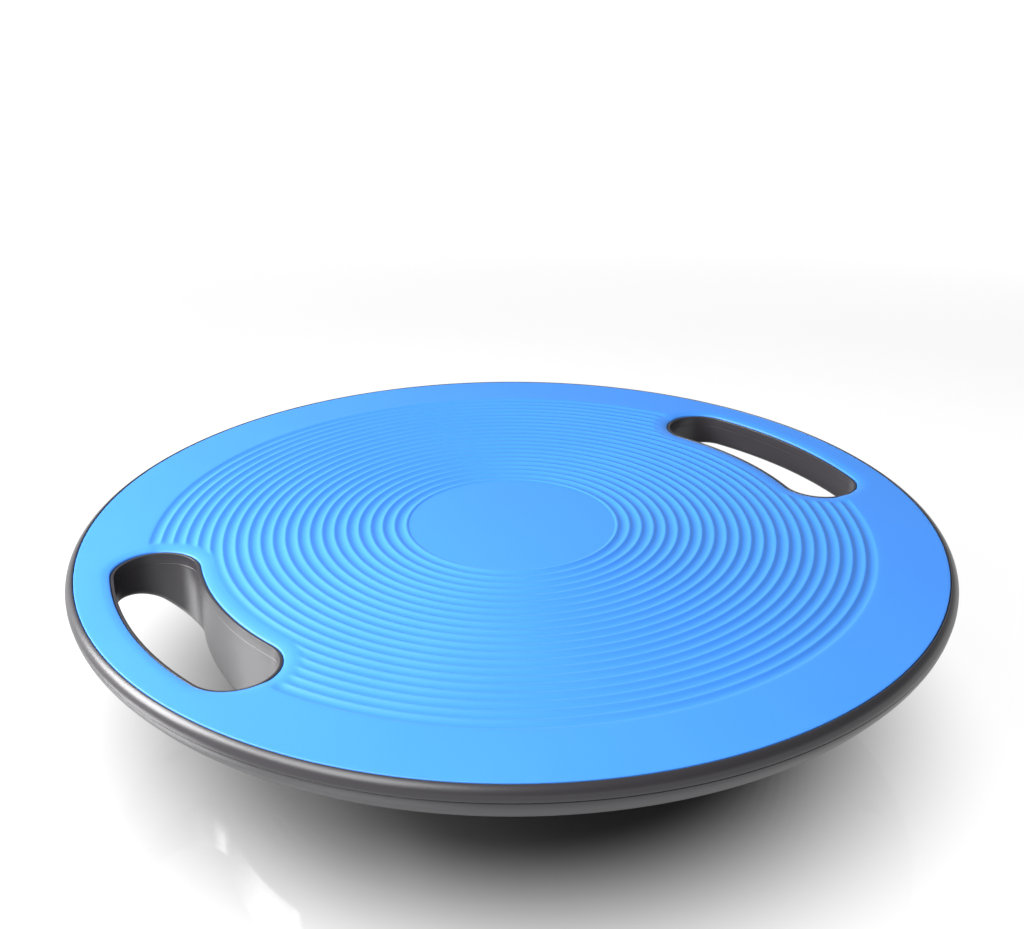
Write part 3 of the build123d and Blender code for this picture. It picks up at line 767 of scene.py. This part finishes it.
class StageSettings(bpy.types.PropertyGroup):
    """Where the camera stands and how strong the lights are."""

    heading: FloatProperty(
        name="Heading", description="Turn of the camera round the board", default=math.radians(-33.2),
        subtype="ANGLE")
    pitch: FloatProperty(
        name="Pitch", description="How far the camera looks down", default=math.radians(23.14), subtype="ANGLE")
    distance: FloatProperty(
        name="Distance", description="Camera from the board's axis, level", default=default_mm(522.1),
        unit="LENGTH")
    height: FloatProperty(
        name="Height", description="Camera above the deck plane", default=default_mm(251.6), unit="LENGTH")
    lens: FloatProperty(name="Lens", description="Focal length in millimetres", default=43.89)
    key: FloatProperty(name="Key light", description="Watts of the soft box on the left", default=24.0)
    front: FloatProperty(name="Front light", description="Watts of the soft box at the front left", default=6.0)
    surround: FloatProperty(name="Surround", description="Strength of the dim surround", default=0.26)
    backdrop: FloatProperty(name="Backdrop", description="Strength of the surround near the horizon", default=1.15)
    # painted glow: the floor emits light though it is no lamp, none under the board, which leaves a painted shadow
    # there
    painted_glow: FloatProperty(name="Table glow", description="Strength of the table's back light", default=1.0)


def floor_material():
    """White glossy table with a painted glow: it emits light though it is no lamp, none under the board, a painted
    shadow, rising to full further out; its clear reflection of what stands on it is real gloss.
    """
    stage = bpy.context.scene.board_stage
    material = bpy.data.materials.new("white_table_painted_glow")
    material.use_nodes = True
    tree = material.node_tree
    surface = tree.nodes["Principled BSDF"]
    away = add(
        tree, "ShaderNodeVectorMath", {"Vector": add(tree, "ShaderNodeTexCoord").outputs["Object"]},
        operation="LENGTH")
    # Painted glow and painted shadow: emission grows with distance from the board's axis, none under the board.
    painted_glow = add(
        tree, "ShaderNodeMapRange",
        {"Value": away.outputs["Value"], "From Min": PAINTED_SHADOW_R, "From Max": PAINTED_GLOW_R,
         "To Min": 0.0, "To Max": stage.painted_glow},
        interpolation_type="SMOOTHSTEP")
    tree.links.new(painted_glow.outputs["Result"], surface.inputs["Emission Strength"])
    surface.inputs["Emission Color"].default_value = (1.0, 1.0, 1.0, 1.0)
    surface.inputs["Base Color"].default_value = linear(colours().floor)
    surface.inputs["Roughness"].default_value = 0.05
    surface.inputs["Coat Weight"].default_value = 1.0
    surface.inputs["Coat Roughness"].default_value = 0.03
    return material


def make_light(name, azimuth, elevation, distance, energy, size):
    """Soft box aimed at the deck from a direction counted from the camera's heading."""
    light = bpy.data.lights.new(name, "AREA")
    light.energy = energy
    light.size = size
    lamp = bpy.data.objects.new(name, light)
    bpy.context.scene.collection.objects.link(lamp)
    turned = bpy.context.scene.board_stage.heading + azimuth
    back = Vector((
        math.sin(turned) * math.cos(elevation), -math.cos(turned) * math.cos(elevation), math.sin(elevation)))
    lamp.location = Vector((0, 0, DECK)) + back * distance
    lamp.rotation_euler = (-back).to_track_quat("-Z", "Y").to_euler()


def make_stage():
    """Pale floor with a painted glow and a painted shadow under the board, broad light from the left, even surround,
    and the camera.
    """
    stage = bpy.context.scene.board_stage
    bm = bmesh.new()
    bmesh.ops.create_grid(bm, x_segments=1, y_segments=1, size=FLOOR_HALF)
    mesh = bpy.data.meshes.new("studio_floor")
    bm.to_mesh(mesh)
    bm.free()
    floor = bpy.data.objects.new("studio_floor", mesh)
    bpy.context.scene.collection.objects.link(floor)
    mesh.materials.append(floor_material())
    floor.location.z = CAD_BOX[0].z
    make_light(
        "key_light", azimuth=math.radians(-90), elevation=math.radians(29), distance=1.03, energy=stage.key,
        size=0.55)
    make_light(
        "front_light", azimuth=math.radians(-42), elevation=math.radians(44), distance=0.72, energy=stage.front,
        size=0.42)
    world = bpy.data.worlds.new("studio")
    bpy.context.scene.world = world
    world.use_nodes = True
    tree = world.node_tree
    away = add(tree, "ShaderNodeSeparateXYZ", {"Vector": add(tree, "ShaderNodeTexCoord").outputs["Generated"]})
    strength = add(
        tree, "ShaderNodeMapRange",
        {"Value": away.outputs["Z"], "From Min": HORIZON[0], "From Max": HORIZON[1],
         "To Min": stage.backdrop, "To Max": stage.surround},
        interpolation_type="SMOOTHSTEP")
    surround = tree.nodes["Background"]
    surround.inputs["Color"].default_value = (1.0, 1.0, 1.0, 1.0)
    tree.links.new(strength.outputs["Result"], surround.inputs["Strength"])
    camera = bpy.data.cameras.new("camera")
    camera.lens = stage.lens
    camera.sensor_fit = "HORIZONTAL"
    camera.sensor_width = 36.0
    camera.dof.use_dof = False
    holder = bpy.data.objects.new("camera", camera)
    bpy.context.scene.collection.objects.link(holder)
    holder.location = (
        math.sin(stage.heading) * stage.distance, -math.cos(stage.heading) * stage.distance, DECK + stage.height)
    holder.rotation_euler = (math.pi / 2 - stage.pitch, 0.0, stage.heading)
    bpy.context.scene.camera = holder
    bpy.context.scene.view_settings.view_transform = "Standard"


# --- operators -----------------------------------------------------------------------------------
class BOARD_OT_stage(bpy.types.Operator):
    """Set up the floor, the lights and the camera"""

    bl_idname = "board.stage"
    bl_label = "Stage"

    def execute(self, context):
        make_stage()
        return {"FINISHED"}


class BOARD_OT_mat(bpy.types.Operator):
    """Build the ridged mat"""

    bl_idname = "board.mat"
    bl_label = "Mat"

    def execute(self, context):
        make_mat()
        return {"FINISHED"}


class BOARD_OT_deck_shell(bpy.types.Operator):
    """Build the upper shell with its shoulder and lips"""

    bl_idname = "board.deck_shell"
    bl_label = "Upper shell"

    def execute(self, context):
        make_deck_shell()
        return {"FINISHED"}


class BOARD_OT_base_shell(bpy.types.Operator):
    """Build the lower shell with its dome"""

    bl_idname = "board.base_shell"
    bl_label = "Lower shell"

    def execute(self, context):
        make_base_shell()
        return {"FINISHED"}


class BOARD_OT_grip_pad(bpy.types.Operator):
    """Build the pad that the board stands on"""

    bl_idname = "board.grip_pad"
    bl_label = "Grip pad"

    def execute(self, context):
        make_grip_pad()
        return {"FINISHED"}


class BOARD_OT_screws(bpy.types.Operator):
    """Plate the screws"""

    bl_idname = "board.screws"
    bl_label = "Screws"

    def execute(self, context):
        dress_screws()
        return {"FINISHED"}


OPERATORS = (
    BOARD_OT_stage, BOARD_OT_mat, BOARD_OT_deck_shell, BOARD_OT_base_shell, BOARD_OT_grip_pad, BOARD_OT_screws)


class BOARD_PT_panel(bpy.types.Panel):
    """Sizes, colours and build steps of the board"""

    bl_label = "Balance board"
    bl_idname = "BOARD_PT_panel"
    bl_space_type = "VIEW_3D"
    bl_region_type = "UI"
    bl_category = "Board"

    def draw(self, context):
        for settings in (context.scene.board_sizes, context.scene.board_colours, context.scene.board_stage):
            box = self.layout.box()
            for name in settings.__annotations__:
                box.prop(settings, name)
        for operator in OPERATORS:
            self.layout.operator(operator.bl_idname)


CLASSES = (BoardSizes, BoardColours, StageSettings, *OPERATORS, BOARD_PT_panel)


def register():
    for cls in CLASSES:
        bpy.utils.register_class(cls)
    bpy.types.Scene.board_sizes = PointerProperty(type=BoardSizes)
    bpy.types.Scene.board_colours = PointerProperty(type=BoardColours)
    bpy.types.Scene.board_stage = PointerProperty(type=StageSettings)


def unregister():
    del bpy.types.Scene.board_stage
    del bpy.types.Scene.board_colours
    del bpy.types.Scene.board_sizes
    for cls in reversed(CLASSES):
        bpy.utils.unregister_class(cls)


def main():
    """Builds everything."""
    register()
    bpy.ops.board.stage()
    bpy.ops.board.mat()
    bpy.ops.board.deck_shell()
    bpy.ops.board.base_shell()
    bpy.ops.board.grip_pad()
    bpy.ops.board.screws()


if __name__ == "__main__":
    main()
